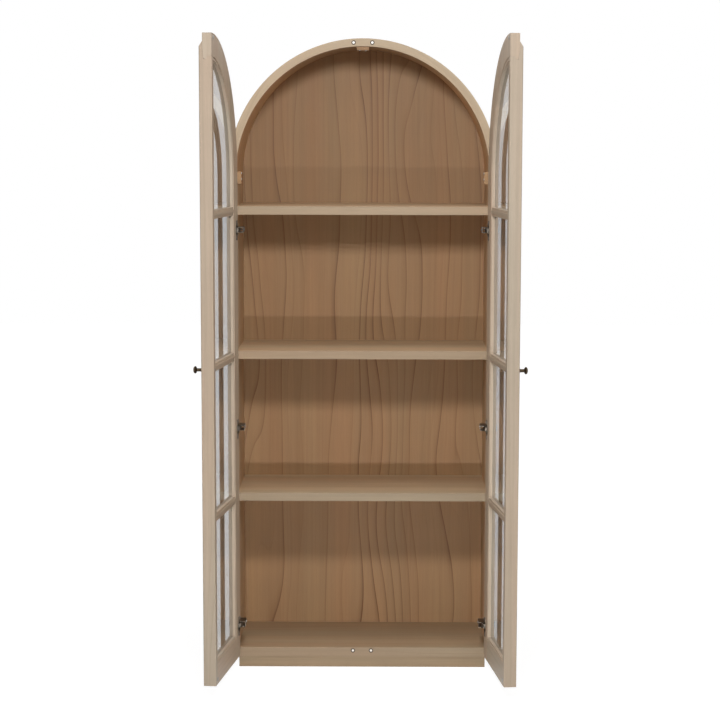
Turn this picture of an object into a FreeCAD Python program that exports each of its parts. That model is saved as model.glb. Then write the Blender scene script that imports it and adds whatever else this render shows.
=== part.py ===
import FreeCAD, Part
import Sketcher
import os
import re

# A tall arched display cabinet in pale wood. Two glazed doors, each a quarter of the arch wide,
# hang on concealed cup hinges and stand open. X runs to the right, Y away from the viewer,
# Z up. The origin is the middle of the front plinth rail's underside.

doc = FreeCAD.newDocument("arched_cabinet")
sheet = doc.addObject("Spreadsheet::Sheet", "sizes")

SIZES = [
    ("carcass_width", 900, "width over the side panels"),
    ("carcass_depth", 420, "front edge to rear edge"),
    ("wall_thickness", 26, "side panels and arch"),
    ("spring_height", 1680, "where the side panels end and the arch begins"),
    ("plinth_height", 36, "plinth rails"),
    ("plinth_side_inset", 28, "plinth end face behind the side panel's outer face"),
    ("plinth_front_inset", 3, "plinth face behind the front and rear edges"),
    ("plinth_rail_thickness", 20, "plinth rails"),
    ("bottom_thickness", 33, "bottom panel"),
    ("shelf_thickness", 28, "shelves"),
    ("upper_shelf_top", 1576, "top face of the upper shelf"),
    ("middle_shelf_top", 1091, "top face of the middle shelf"),
    ("lower_shelf_top", 606, "top face of the lower shelf"),
    ("back_thickness", 9, "back panel"),
    ("back_recess", 2, "back panel behind the rear edge"),
    ("rabbet_width", 10, "rabbet for the back panel, into the wall"),
    ("peg_sides", 6, "faces round screws and their bores"),
    ("pin_sides", 10, "faces round pins, screw heads and magnets"),
    ("cup_sides", 20, "faces round the hinge cups"),
    ("knob_sides", 24, "faces round the knobs"),
    ("fit_gap", 0.3, "clearance round fitted and moving parts"),
    ("bore_gap", 0.1, "clearance of screws and pins in their bores"),
    ("housing_depth", 7, "housings in the side panels for shelves and bottom panel"),
    ("housing_stop", 14, "front end of the housings behind the front edge"),
    ("arch_tongue_thickness", 9, "loose tongues between side panels and arch"),
    ("arch_tongue_length", 300, "loose tongues, front to back"),
    ("arch_tongue_half", 20, "loose tongues, to each side of the joint"),
    ("crown_block_width", 40, "block under the crown"),
    ("crown_block_height", 12.5, "block under the crown"),
    ("crown_block_depth", 30, "block under the crown"),
    ("crown_block_setback", 10, "block under the crown, behind the front edge"),
    ("side_block_thickness", 18, "blocks over the joints of arch and side panels"),
    ("side_block_height", 40, "blocks over the joints"),
    ("side_block_depth", 25, "blocks over the joints"),
    ("side_block_setback", 3, "blocks over the joints, behind the front edge"),
    ("side_block_rise", 11, "blocks over the joints, above the joint"),
    ("magnet_radius", 6, "catch magnets"),
    ("magnet_rim_radius", 7.5, "rim of the magnets' cups"),
    ("magnet_rim", 0.6, "rim thickness"),
    ("magnet_length", 10, "length in the bore"),
    ("magnet_offset", 31, "magnets from the middle of the cabinet"),
    ("magnet_low_height", 58, "height of the lower magnets"),
    ("door_reveal", 1, "door edge inside the carcass outline"),
    ("door_front_gap", 2.5, "closed door in front of the carcass"),
    ("doors_gap", 3, "between the closed doors"),
    ("door_bottom", 41, "height of the doors' lower edge"),
    ("door_thickness", 41, "at the meeting stile"),
    ("border_thickness", 30, "thickness of the outer border"),
    ("border_width", 26, "outer border along the hinge side and the arch"),
    ("bevel_width", 17, "bevelled top end of the meeting stile"),
    ("edge_round", 2, "eased inner front edges"),
    ("hinge_stile_width", 72, "inner face of the hinge stile and the arched rail"),
    ("meeting_stile_width", 28, "inner face of the meeting stile"),
    ("bottom_rail_width", 75, "inner face of the bottom rail"),
    ("rebate_width", 9, "glass rebate"),
    ("glass_setback", 11.5, "glass behind the inner face"),
    ("glass_thickness", 4, "glass"),
    ("glass_play", 0.5, "glass in its rebate, each edge"),
    ("bead_recess", 2, "glazing beads behind the inner face"),
    ("muntin_height", 28, "muntins seen from the front"),
    ("muntin_stem", 10, "muntins between their rebates"),
    ("upper_muntin_top", 1576, "top of the upper muntin"),
    ("arch_bar_radius", 210, "inner edge of the curved glazing bar, from the arch's centre"),
    ("arch_bar_width", 28, "curved glazing bar and the posts under it"),
    ("arch_bar_thickness", 10, "glazing bar in front of the glass"),
    ("tenon_length", 12, "tenons of muntins and bottom rail"),
    ("tenon_thickness", 7, "tenons"),
    ("tenon_setback", 17, "tenons from the door's inner face"),
    ("muntin_tenon_height", 16, "muntin tenons"),
    ("rail_tenon_height", 46, "bottom rail tenons"),
    ("frame_tongue_half", 26, "loose tongues in the door frame, to each side of the joint"),
    ("stile_tongue_width", 42, "tongue between hinge stile and arched rail"),
    ("meeting_tongue_width", 14, "tongue between meeting stile and arched rail"),
    ("upper_hinge_height", 1497, "hinge centre"),
    ("middle_hinge_height", 828, "hinge centre"),
    ("lower_hinge_height", 148, "hinge centre"),
    ("link_pivot_in", 37.32, "link pivot on the carcass, from the outer face"),
    ("link_pivot_back", 9.5, "link pivot behind the front edge"),
    ("link_length", 28.62, "between the link's pins"),
    ("link_closed_angle", 211.8, "direction of the link with the door closed"),
    ("link_turn_share", 0.394, "turn of the link for each degree of the door"),
    ("left_open_angle", 96.5, "left door as it stands"),
    ("right_open_angle", 95.8, "right door as it stands"),
    ("hinge_pin_radius", 2, "hinge pins"),
    ("link_boss_radius", 3.2, "link round its pins"),
    ("link_sheet", 2.2, "link thickness"),
    ("link_height", 14, "link along the pins"),
    ("link_knee_along", 6, "first bend of the link, along it"),
    ("link_knee_out", 4, "first bend, beside it"),
    ("link_back_along", 16, "second bend"),
    ("link_back_out", 8.5, "second bend"),
    ("link_hook_along", 26.5, "third bend"),
    ("link_hook_out", 5.6, "third bend"),
    ("arm_height", 18, "hinge arm, along the pins"),
    ("arm_sheet", 1.6, "hinge arm thickness"),
    ("arm_side_gap", 0.4, "between link and arm cheeks"),
    ("arm_front", 3, "arm behind the front edge"),
    ("arm_length", 66, "hinge arm, front to back"),
    ("arm_reach", 24, "arm from the wall's inner face"),
    ("plate_thickness", 3, "mounting plate"),
    ("plate_front", 22, "mounting plate behind the front edge"),
    ("plate_length", 46, "mounting plate, front to back"),
    ("plate_strip", 20, "height of the plate's strip under the arm"),
    ("plate_wing_height", 50, "height over the plate's wings"),
    ("plate_wing_front", 30, "wings behind the front edge"),
    ("plate_wing_length", 15, "wings, front to back"),
    ("plate_screw_spacing", 34, "plate screws"),
    ("arm_screw_back", 56, "arm screw behind the front edge"),
    ("cup_radius", 17.5, "hinge cup"),
    ("cup_centre", 22.5, "hinge cup from the carcass's outer face, door closed"),
    ("cup_depth", 11.5, "bore for the hinge cup"),
    ("cup_sheet", 0.9, "hinge cup wall"),
    ("flange_thickness", 1.2, "hinge cup flange"),
    ("flange_radius", 19, "round part of the flange"),
    ("flange_width", 22, "wings of the flange"),
    ("flange_height", 65, "over the wings of the flange"),
    ("cup_cheek", 2, "cheeks that hold the cup's pin"),
    ("cup_screw_spacing", 52, "cup screws"),
    ("screw_radius", 1.8, "wood screws"),
    ("screw_head_radius", 3.6, "wood screw heads"),
    ("screw_head_height", 1.8, "wood screw heads"),
    ("flat_head_height", 0.8, "cup screw heads"),
    ("screw_length", 16, "wood screws"),
    ("knob_height", 1070, "knob centre"),
    ("knob_head_radius", 12, "knob"),
    ("knob_neck_radius", 5.3, "knob"),
    ("knob_foot_radius", 8.5, "knob"),
    ("knob_length", 29, "knob"),
    ("knob_screw_bite", 10, "knob screw inside the knob"),
    ("strike_radius", 7, "strike plates"),
    ("strike_thickness", 1, "strike plates"),
]

DERIVED = [
    ("half_width", "=carcass_width / 2"),
    ("front", "=-plinth_front_inset - plinth_rail_thickness / 2"),
    ("rear", "=front + carcass_depth"),
    ("arch_inner_radius", "=carcass_width / 2 - wall_thickness"),
    ("back_face", "=rear - back_recess - back_thickness"),
    ("floor_top", "=plinth_height + bottom_thickness"),
    ("door_face", "=front - door_front_gap"),
    ("door_radius", "=half_width - door_reveal"),
    ("door_edge", "=half_width - doors_gap / 2"),
    ("rebate_depth", "=glass_setback + glass_thickness + fit_gap"),
    ("sight_depth", "=rebate_depth + arch_bar_thickness"),
    ("rebate_radius", "=door_radius - hinge_stile_width"),
    ("lip_radius", "=rebate_radius - rebate_width"),
    ("pane_near", "=door_reveal + hinge_stile_width"),
    ("pane_far", "=door_edge - meeting_stile_width"),
    ("stem_offset", "=(muntin_height - muntin_stem) / 2"),
    ("link_rest_left", "=link_closed_angle + link_turn_share * left_open_angle"),
    ("link_rest_right", "=link_closed_angle + link_turn_share * right_open_angle"),
    ("pin_closed_in", "=link_pivot_in + link_length * cos(link_closed_angle)"),
    ("pin_closed_back", "=link_pivot_back + link_length * sin(link_closed_angle)"),
    ("pin_rest_in_left", "=link_pivot_in + link_length * cos(link_rest_left)"),
    ("pin_rest_back_left", "=link_pivot_back + link_length * sin(link_rest_left)"),
    ("pin_rest_in_right", "=link_pivot_in + link_length * cos(link_rest_right)"),
    ("pin_rest_back_right", "=link_pivot_back + link_length * sin(link_rest_right)"),
]

row = 1
for alias, value, note in SIZES:
    sheet.set("A%d" % row, note)
    sheet.set("B%d" % row, str(value))
    sheet.setAlias("B%d" % row, alias)
    row += 1
for alias, formula in DERIVED:
    sheet.set("A%d" % row, "worked out")
    sheet.set("B%d" % row, formula)
    sheet.setAlias("B%d" % row, alias)
    row += 1
doc.recompute()

WORDS = [entry[0] for entry in SIZES] + [entry[0] for entry in DERIVED]


def linked(formula):
    # puts the sheet's name before each of its words
    def one(match):
        word = match.group(0)
        return "sizes." + word if word in WORDS else word
    return re.sub(r"[a-z_]+[a-z0-9_]*", one, formula)


def bind(thing, prop, formula):
    thing.setExpression(prop, linked(formula))


TURNS = {
    "up": FreeCAD.Rotation(),
    "right": FreeCAD.Rotation(FreeCAD.Vector(0, 1, 0), 90),
    "front": FreeCAD.Rotation(FreeCAD.Vector(1, 0, 0), 90),
}


def at(thing, x, y, z, turn="up"):
    thing.Placement = FreeCAD.Placement(FreeCAD.Vector(), TURNS[turn])
    bind(thing, "Placement.Base.x", x)
    bind(thing, "Placement.Base.y", y)
    bind(thing, "Placement.Base.z", z)
    return thing


def box(x, y, z, wide, deep, high):
    thing = doc.addObject("Part::Box", "block")
    bind(thing, "Length", wide)
    bind(thing, "Width", deep)
    bind(thing, "Height", high)
    return at(thing, x, y, z)


def rod(turn, x, y, z, radius, length, angle="360"):
    thing = doc.addObject("Part::Cylinder", "rod")
    bind(thing, "Radius", radius)
    bind(thing, "Height", length)
    bind(thing, "Angle", angle)
    return at(thing, x, y, z, turn)


def peg(turn, x, y, z, radius, length, sides="peg_sides"):
    # small round pieces and their bores, drawn with few faces
    thing = doc.addObject("Part::Prism", "peg")
    bind(thing, "Polygon", sides)
    bind(thing, "Circumradius", radius)
    bind(thing, "Height", length)
    return at(thing, x, y, z, turn)


def fuse(*things):
    if len(things) == 1:
        return things[0]
    whole = doc.addObject("Part::MultiFuse", "joined")
    whole.Shapes = list(things)
    return whole


def cut(base, *tools):
    whole = doc.addObject("Part::Cut", "cut")
    whole.Base = base
    whole.Tool = fuse(*tools)
    return whole


def common(one, other):
    whole = doc.addObject("Part::Common", "shared")
    whole.Base = one
    whole.Tool = other
    return whole


def group(*things):
    whole = doc.addObject("Part::Compound", "group")
    whole.Links = list(things)
    return whole


NODES = []


def node(name, thing):
    thing.Label = name
    NODES.append(thing)
    return thing


# Sides: a place given from a side panel's outer face inward, turned into a place along X.


def across(side, low, high):
    if side == "left":
        return "-half_width + (%s)" % low, "(%s) - (%s)" % (high, low)
    return "half_width - (%s)" % high, "(%s) - (%s)" % (high, low)


def inward(side, place):
    if side == "left":
        return "-half_width + (%s)" % place
    return "half_width - (%s)" % place


def side_box(side, low, high, y, z, deep, high_z):
    x, wide = across(side, low, high)
    return box(x, y, z, wide, deep, high_z)


def side_peg(side, low, high, y, z, radius, sides="peg_sides"):
    x, length = across(side, low, high)
    return peg("right", x, y, z, radius, length, sides)


def posed(side, thing, angle_word, closed, rest):
    # turns a closed door's piece to where the open door stands
    angle = "-%s" % angle_word if side == "left" else angle_word
    old_x = inward(side, closed[0])
    old_y = "front + (%s)" % closed[1]
    new_x = inward(side, rest[0])
    new_y = "front + (%s)" % rest[1]
    thing.Placement = FreeCAD.Placement(FreeCAD.Vector(), FreeCAD.Rotation(FreeCAD.Vector(0, 0, 1), 30))
    bind(thing, "Placement.Rotation.Angle", angle)
    bind(thing, "Placement.Base.x", "(%s) - cos(%s) * (%s) + sin(%s) * (%s)" % (new_x, angle, old_x, angle, old_y))
    bind(thing, "Placement.Base.y", "(%s) - sin(%s) * (%s) - cos(%s) * (%s)" % (new_y, angle, old_x, angle, old_y))
    return thing


def door_posed(side, thing):
    rest = ("pin_rest_in_%s" % side, "pin_rest_back_%s" % side)
    closed = ("pin_closed_in", "pin_closed_back")
    return posed(side, thing, "%s_open_angle" % side, closed, rest)


def outline(body, points):
    # a closed chain of straight lines on the body's XY plane, each corner placed from the origin
    plane = [feature for feature in body.Origin.OriginFeatures if feature.Role == "XY_Plane"][0]
    sketch = body.newObject("Sketcher::SketchObject", "profile")
    sketch.AttachmentSupport = [(plane, "")]
    sketch.MapMode = "FlatFace"
    spots = []
    for x, y in points:
        spots.append(FreeCAD.Vector(value_of(x), value_of(y), 0))
    count = len(points)
    for index in range(count):
        sketch.addGeometry(Part.LineSegment(spots[index], spots[(index + 1) % count]), False)
    for index in range(count):
        sketch.addConstraint(Sketcher.Constraint("Coincident", index, 2, (index + 1) % count, 1))
    for index, (x, y) in enumerate(points):
        for kind, formula, amount in (("DistanceX", x, spots[index].x), ("DistanceY", y, spots[index].y)):
            place = sketch.addConstraint(Sketcher.Constraint(kind, -1, 1, index, 1, amount))
            if abs(amount) > 0:
                bind(sketch, "Constraints[%d]" % place, formula)
    return sketch


VALUES = {}


def value_of(formula):
    # the present value of a formula over the sheet's words
    if formula not in VALUES:
        probe = doc.addObject("App::FeaturePython", "probe")
        probe.addProperty("App::PropertyFloat", "amount")
        bind(probe, "amount", formula)
        doc.recompute([probe])
        VALUES[formula] = probe.amount
        doc.removeObject(probe.Name)
    return VALUES[formula]


def padded(points, length, z):
    body = doc.addObject("PartDesign::Body", "stock")
    sketch = outline(body, points)
    pad = body.newObject("PartDesign::Pad", "length")
    pad.Profile = sketch
    bind(pad, "Length", length)
    bind(body, "Placement.Base.z", z)
    return body


def turned(points, angle, reversed_turn, z):
    body = doc.addObject("PartDesign::Body", "turned")
    sketch = outline(body, points)
    sweep = body.newObject("PartDesign::Revolution", "sweep")
    sweep.Profile = sketch
    sweep.ReferenceAxis = (sketch, ["V_Axis"])
    sweep.Angle = angle
    sweep.Reversed = reversed_turn
    bind(body, "Placement.Base.z", z)
    return body


SIDES = ("left", "right")
HINGES = ("upper_hinge_height", "middle_hinge_height", "lower_hinge_height")
SHELVES = (("upper", "upper_shelf_top"), ("middle", "middle_shelf_top"), ("lower", "lower_shelf_top"))

# Housings in the side panels for the shelf ends, and loose tongues under the arch

BEAMS = [("shelf_%s" % name, "%s - shelf_thickness" % word, "shelf_thickness") for name, word in SHELVES]
BEAMS.append(("bottom_panel", "plinth_height", "bottom_thickness"))


def arch_tongue(side, extra="0"):
    mid = "wall_thickness / 2"
    half = "(arch_tongue_thickness / 2 + %s)" % extra
    return side_box(side, "%s - %s" % (mid, half), "%s + %s" % (mid, half), "(front + rear - arch_tongue_length) / 2 - %s" % extra,
                    "spring_height - arch_tongue_half - %s" % extra, "arch_tongue_length + 2 * %s" % extra,
                    "2 * arch_tongue_half + 2 * %s" % extra)


node("arch_tongues", group(arch_tongue("left"), arch_tongue("right")))


def headed_screw(x, seat, z, length, head="screw_head_height"):
    shank = peg("front", x, seat, z, "screw_radius", length)
    top = peg("front", x, "(%s) + %s" % (seat, head), z, "screw_head_radius", head, "pin_sides")
    return fuse(shank, top)


# Mounting plates, arms, their pins and their screws

PLATE_SCREW_BACK = "front + plate_wing_front + plate_wing_length / 2"


def plate_screw_bores(side, radius, low, high):
    bores = []
    for height in HINGES:
        for sign in ("-", "+"):
            z = "%s %s plate_screw_spacing / 2" % (height, sign)
            bores.append(side_peg(side, low, high, PLATE_SCREW_BACK, z, radius))
    return bores


PLATE_TOP = "wall_thickness + plate_thickness"
ARM_TOP = "wall_thickness + arm_reach"
plates = []
arms = []
plate_screws = []
arm_screws = []
for side in SIDES:
    for index, height in enumerate(HINGES):
        strip = side_box(side, "wall_thickness", PLATE_TOP, "front + plate_front",
                         "%s - plate_strip / 2" % height, "plate_length", "plate_strip")
        wings = side_box(side, "wall_thickness", PLATE_TOP, "front + plate_wing_front",
                         "%s - plate_wing_height / 2" % height, "plate_wing_length", "plate_wing_height")
        holes = []
        for sign in ("-", "+"):
            z = "%s %s plate_screw_spacing / 2" % (height, sign)
            holes.append(side_peg(side, "wall_thickness", PLATE_TOP, PLATE_SCREW_BACK, z, "screw_radius + bore_gap"))
            shank = side_peg(side, "%s - screw_length" % PLATE_TOP, PLATE_TOP, PLATE_SCREW_BACK, z, "screw_radius")
            head = side_peg(side, PLATE_TOP, "%s + screw_head_height" % PLATE_TOP, PLATE_SCREW_BACK, z,
                            "screw_head_radius", "pin_sides")
            plate_screws.append(fuse(shank, head))
        screw_y = "front + arm_screw_back"
        plates.append(cut(fuse(strip, wings), *holes))
        low = "%s - arm_height / 2" % height
        shell = side_box(side, PLATE_TOP, ARM_TOP, "front + arm_front", low, "arm_length", "arm_height")
        hollow = side_box(side, PLATE_TOP, "%s - arm_sheet" % ARM_TOP, "front", "%s + arm_sheet" % low,
                          "arm_length + 2 * arm_front", "arm_height - 2 * arm_sheet")
        pin_bore = peg("up", inward(side, "link_pivot_in"), "front + link_pivot_back", low,
                       "hinge_pin_radius + bore_gap", "arm_height", "pin_sides")
        screw_bore = side_peg(side, PLATE_TOP, ARM_TOP, screw_y, height, "screw_radius + bore_gap")
        arms.append(cut(shell, hollow, pin_bore, screw_bore))
        arms.append(peg("up", inward(side, "link_pivot_in"), "front + link_pivot_back", low, "hinge_pin_radius",
                        "arm_height", "pin_sides"))
        shank = side_peg(side, PLATE_TOP, ARM_TOP, screw_y, height, "screw_radius")
        head = side_peg(side, ARM_TOP, "%s + screw_head_height" % ARM_TOP, screw_y, height, "screw_head_radius",
                        "pin_sides")
        arm_screws.append(fuse(shank, head))
node("hinge_plates", group(*plates))
node("hinge_arms", group(*arms))
node("hinge_screws", group(*(plate_screws + arm_screws)))

# Side panels

BLOCK_SCREW_HEIGHTS = ("spring_height - (side_block_height - side_block_rise) / 2",
                       "spring_height + side_block_rise / 2")
BLOCK_SCREW_BACK = "front + side_block_setback + side_block_depth / 2"
BLOCK_SCREW_END = "wall_thickness + side_block_thickness / 2 - screw_length"


def block_screw_bore(side, z):
    mouth = "wall_thickness + side_block_thickness / 2"
    return side_peg(side, BLOCK_SCREW_END, mouth, BLOCK_SCREW_BACK, z, "screw_radius + bore_gap")


for side in SIDES:
    blank = side_box(side, "0", "wall_thickness", "front", "plinth_height", "carcass_depth",
                     "spring_height - plinth_height")
    tools = [side_box(side, "wall_thickness - rabbet_width", "wall_thickness", "back_face", "plinth_height",
                      "rear - back_face", "spring_height - plinth_height")]
    for name, z, tall in BEAMS:
        tools.append(side_box(side, "wall_thickness - housing_depth - fit_gap", "wall_thickness",
                              "front + housing_stop", z, "back_face - front - housing_stop", tall))
    tools.append(arch_tongue(side, "fit_gap"))
    low = "%s - screw_length" % PLATE_TOP
    tools += plate_screw_bores(side, "screw_radius + bore_gap", low, PLATE_TOP)
    tools.append(block_screw_bore(side, BLOCK_SCREW_HEIGHTS[0]))
    node("side_panel_%s" % side, cut(blank, *tools))

# Arch

MAGNET_HIGH = "spring_height + sqrt((arch_inner_radius + wall_thickness / 2) ^ 2 - magnet_offset ^ 2)"
CROWN_SCREWS = ("-crown_block_width / 4", "crown_block_width / 4")
CROWN_LOW = "spring_height + arch_inner_radius - crown_block_height - fit_gap"
CROWN_MID = "front + crown_block_setback + crown_block_depth / 2"


def magnet_bores(z):
    bores = []
    for sign in ("-", ""):
        start = "front + magnet_length + fit_gap"
        bores.append(peg("front", "%smagnet_offset" % sign, start, z, "magnet_radius + fit_gap",
                         "magnet_length + 2 * fit_gap", "pin_sides"))
    return bores


half_disc = rod("front", "0", "rear", "spring_height", "half_width", "carcass_depth", "180")
hollow = rod("front", "0", "rear", "spring_height", "arch_inner_radius", "carcass_depth", "360")
rabbet = rod("front", "0", "rear", "spring_height", "arch_inner_radius + rabbet_width", "rear - back_face", "360")
tools = [hollow, rabbet]
for side in SIDES:
    tools.append(arch_tongue(side, "fit_gap"))
    tools.append(block_screw_bore(side, BLOCK_SCREW_HEIGHTS[1]))
tools += magnet_bores(MAGNET_HIGH)
for x in CROWN_SCREWS:
    tools.append(peg("up", x, CROWN_MID, CROWN_LOW, "screw_radius + bore_gap",
                     "screw_length + crown_block_height / 2"))
node("arch_top", cut(half_disc, *tools))

# Back panel

low_sheet = box("-arch_inner_radius - rabbet_width + fit_gap", "back_face", "plinth_height",
                "2 * (arch_inner_radius + rabbet_width - fit_gap)", "back_thickness",
                "spring_height - plinth_height")
high_sheet = rod("front", "0", "back_face + back_thickness", "spring_height",
                 "arch_inner_radius + rabbet_width - fit_gap", "back_thickness", "180")
node("back_panel", fuse(low_sheet, high_sheet))

# Bottom panel and shelves

for name, z, tall in BEAMS:
    plank = box("-arch_inner_radius", "front", z, "2 * arch_inner_radius", "back_face - front", tall)
    tongue = box("-arch_inner_radius - housing_depth", "front + housing_stop + fit_gap", z,
                 "2 * (arch_inner_radius + housing_depth)", "back_face - front - housing_stop - fit_gap", tall)
    if name == "bottom_panel":
        node(name, cut(fuse(plank, tongue), *magnet_bores("magnet_low_height")))
    else:
        node(name, fuse(plank, tongue))

# Plinth, a frame of four rails with the side rails between front and back

RAIL_HALF = "(half_width - plinth_side_inset)"
node("plinth_front", box("-" + RAIL_HALF, "front + plinth_front_inset", "0", "2 * " + RAIL_HALF,
                         "plinth_rail_thickness", "plinth_height"))
node("plinth_back", box("-" + RAIL_HALF, "rear - plinth_front_inset - plinth_rail_thickness", "0",
                        "2 * " + RAIL_HALF, "plinth_rail_thickness", "plinth_height"))
for side in SIDES:
    node("plinth_%s" % side, side_box(side, "plinth_side_inset", "plinth_side_inset + plinth_rail_thickness",
                                      "front + plinth_front_inset + plinth_rail_thickness", "0",
                                      "carcass_depth - 2 * plinth_front_inset - 2 * plinth_rail_thickness",
                                      "plinth_height"))

# Blocks under the crown and over the joints of the arch, and their screws

crown_blank = box("-crown_block_width / 2", "front + crown_block_setback", CROWN_LOW, "crown_block_width",
                  "crown_block_depth", "crown_block_height + fit_gap")
crown_round = rod("front", "0", "rear", "spring_height", "arch_inner_radius - fit_gap", "carcass_depth")
bores = [peg("up", x, CROWN_MID, CROWN_LOW, "screw_radius + bore_gap", "crown_block_height + fit_gap")
         for x in CROWN_SCREWS]
node("crown_block", cut(common(crown_blank, crown_round), *bores))

block_screws = []
for x in CROWN_SCREWS:
    shank = peg("up", x, CROWN_MID, CROWN_LOW, "screw_radius", "screw_length + crown_block_height / 2")
    head = peg("up", x, CROWN_MID, "%s - screw_head_height" % CROWN_LOW, "screw_head_radius", "screw_head_height",
               "pin_sides")
    block_screws.append(fuse(shank, head))
side_blocks = []
for side in SIDES:
    near = "wall_thickness + fit_gap"
    far = "wall_thickness + side_block_thickness"
    blank = side_box(side, near, far, "front + side_block_setback",
                     "spring_height + side_block_rise - side_block_height", "side_block_depth", "side_block_height")
    bores = []
    for z in BLOCK_SCREW_HEIGHTS:
        bores.append(side_peg(side, near, far, BLOCK_SCREW_BACK, z, "screw_radius + bore_gap"))
        shank = side_peg(side, BLOCK_SCREW_END, far, BLOCK_SCREW_BACK, z, "screw_radius")
        head = side_peg(side, far, "%s + screw_head_height" % far, BLOCK_SCREW_BACK, z, "screw_head_radius",
                        "pin_sides")
        block_screws.append(fuse(shank, head))
    side_blocks.append(cut(blank, *bores))
node("side_blocks", group(*side_blocks))
node("block_screws", group(*block_screws))

# Catch magnets in their rimmed cups

magnets = []
for z in (MAGNET_HIGH, "magnet_low_height"):
    for sign in ("-", ""):
        x = "%smagnet_offset" % sign
        barrel = peg("front", x, "front + magnet_length", z, "magnet_radius", "magnet_length", "pin_sides")
        rim = peg("front", x, "front", z, "magnet_rim_radius", "magnet_rim", "2 * pin_sides")
        magnets.append(fuse(barrel, rim))
node("catch_magnets", group(*magnets))

# Hinge links: bent strips between the arm's pin and the cup's pin

LINK_POINTS = (("0", "0"), ("link_knee_along", "link_knee_out"), ("link_back_along", "link_back_out"),
               ("link_hook_along", "link_hook_out"), ("link_length", "0"))


def strip(start, end, mirror):
    run = "((%s) - (%s))" % (end[0], start[0])
    rise = "(%s((%s) - (%s)))" % (mirror, end[1], start[1])
    angle = "atan2(%s; %s)" % (rise, run)
    thing = doc.addObject("Part::Box", "strip")
    thing.Placement = FreeCAD.Placement(FreeCAD.Vector(), FreeCAD.Rotation(FreeCAD.Vector(0, 0, 1), 30))
    bind(thing, "Length", "sqrt(%s ^ 2 + %s ^ 2)" % (run, rise))
    bind(thing, "Width", "link_sheet")
    bind(thing, "Height", "link_height")
    bind(thing, "Placement.Rotation.Angle", angle)
    bind(thing, "Placement.Base.x", "%s + link_sheet / 2 * sin(%s)" % (start[0], angle))
    bind(thing, "Placement.Base.y", "%s(%s) - link_sheet / 2 * cos(%s)" % (mirror, start[1], angle))
    return thing


for side in SIDES:
    mirror = "" if side == "left" else "-"
    links = []
    for height in HINGES:
        low = "%s - link_height / 2" % height
        parts = []
        for index in range(4):
            piece = strip(LINK_POINTS[index], LINK_POINTS[index + 1], mirror)
            bind(piece, "Placement.Base.z", low)
            parts.append(piece)
        for point in LINK_POINTS[1:4]:
            parts.append(peg("up", point[0], "%s(%s)" % (mirror, point[1]), low, "link_sheet / 2", "link_height"))
        for x in ("0", "link_length"):
            parts.append(peg("up", x, "0", low, "link_boss_radius", "link_height", "pin_sides"))
        bores = []
        for x in ("0", "link_length"):
            bores.append(peg("up", x, "0", low, "hinge_pin_radius + fit_gap", "link_height", "pin_sides"))
        links.append(cut(fuse(*parts), *bores))
    pack = group(*links)
    pack.Placement = FreeCAD.Placement(FreeCAD.Vector(), FreeCAD.Rotation(FreeCAD.Vector(0, 0, 1), 30))
    angle = "link_rest_left" if side == "left" else "180 - link_rest_right"
    bind(pack, "Placement.Rotation.Angle", angle)
    bind(pack, "Placement.Base.x", inward(side, "link_pivot_in"))
    bind(pack, "Placement.Base.y", "front + link_pivot_back")
    node("hinge_links_%s" % side, pack)

# Doors, worked out closed and then turned open

MUNTINS = (("upper", "upper_muntin_top"), ("middle", "middle_shelf_top"), ("lower", "lower_shelf_top"))
KNOB_PLACE = "door_edge - (meeting_stile_width + rebate_width) / 2"
STRIKE_PLACE = "half_width - magnet_offset"
KNOB_RING_SHARES = (("knob_foot_radius", "0"), ("0.95 * knob_foot_radius", "0.05"), ("1.1 * knob_neck_radius", "0.12"),
                    ("knob_neck_radius", "0.2"), ("knob_neck_radius", "0.58"), ("0.8 * knob_head_radius", "0.65"),
                    ("knob_head_radius", "0.72"), ("0.96 * knob_head_radius", "0.83"),
                    ("0.78 * knob_head_radius", "0.92"), ("0.4 * knob_head_radius", "0.975"),
                    ("0.14 * knob_head_radius", "1"))


def layer(side, low, high, near, far, z, tall):
    # a block of a closed door, its depth counted from the inner face towards the viewer
    return side_box(side, low, high, "door_face - (%s)" % far, z, "(%s) - (%s)" % (far, near), tall)


def tenon(side, low, high, z, tall, extra="0"):
    near = "tenon_setback - (%s)" % extra
    far = "tenon_setback + tenon_thickness + (%s)" % extra
    return layer(side, low, high, near, far, "(%s) - (%s)" % (z, extra), "(%s) + 2 * (%s)" % (tall, extra))


def muntin_tenon_low(top):
    return "%s - muntin_height / 2 - muntin_tenon_height / 2" % top


LIP_NEAR = "pane_near + rebate_width"
LIP_FAR = "pane_far - rebate_width"
RAIL_TENON_LOW = "door_bottom + bottom_rail_width / 2 - rail_tenon_height / 2"


def mortises(side, stile):
    # a tenon's length into the stile, from its inner edge
    low, high = "%s - tenon_length - fit_gap" % LIP_NEAR, LIP_NEAR
    if stile == "meeting":
        low, high = LIP_FAR, "%s + tenon_length + fit_gap" % LIP_FAR
    tools = [tenon(side, low, high, RAIL_TENON_LOW, "rail_tenon_height", "fit_gap")]
    for name, top in MUNTINS:
        tools.append(tenon(side, low, high, muntin_tenon_low(top), "muntin_tenon_height", "fit_gap"))
    return tools


def stile_tongue(side, extra="0"):
    low = "door_reveal + (hinge_stile_width - stile_tongue_width) / 2 - %s" % extra
    near = "(border_thickness - tenon_thickness) / 2 - %s" % extra
    return layer(side, low, "%s + stile_tongue_width + 2 * %s" % (low, extra), near,
                 "%s + tenon_thickness + 2 * %s" % (near, extra), "spring_height - frame_tongue_half - %s" % extra,
                 "2 * frame_tongue_half + 2 * %s" % extra)


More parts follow.
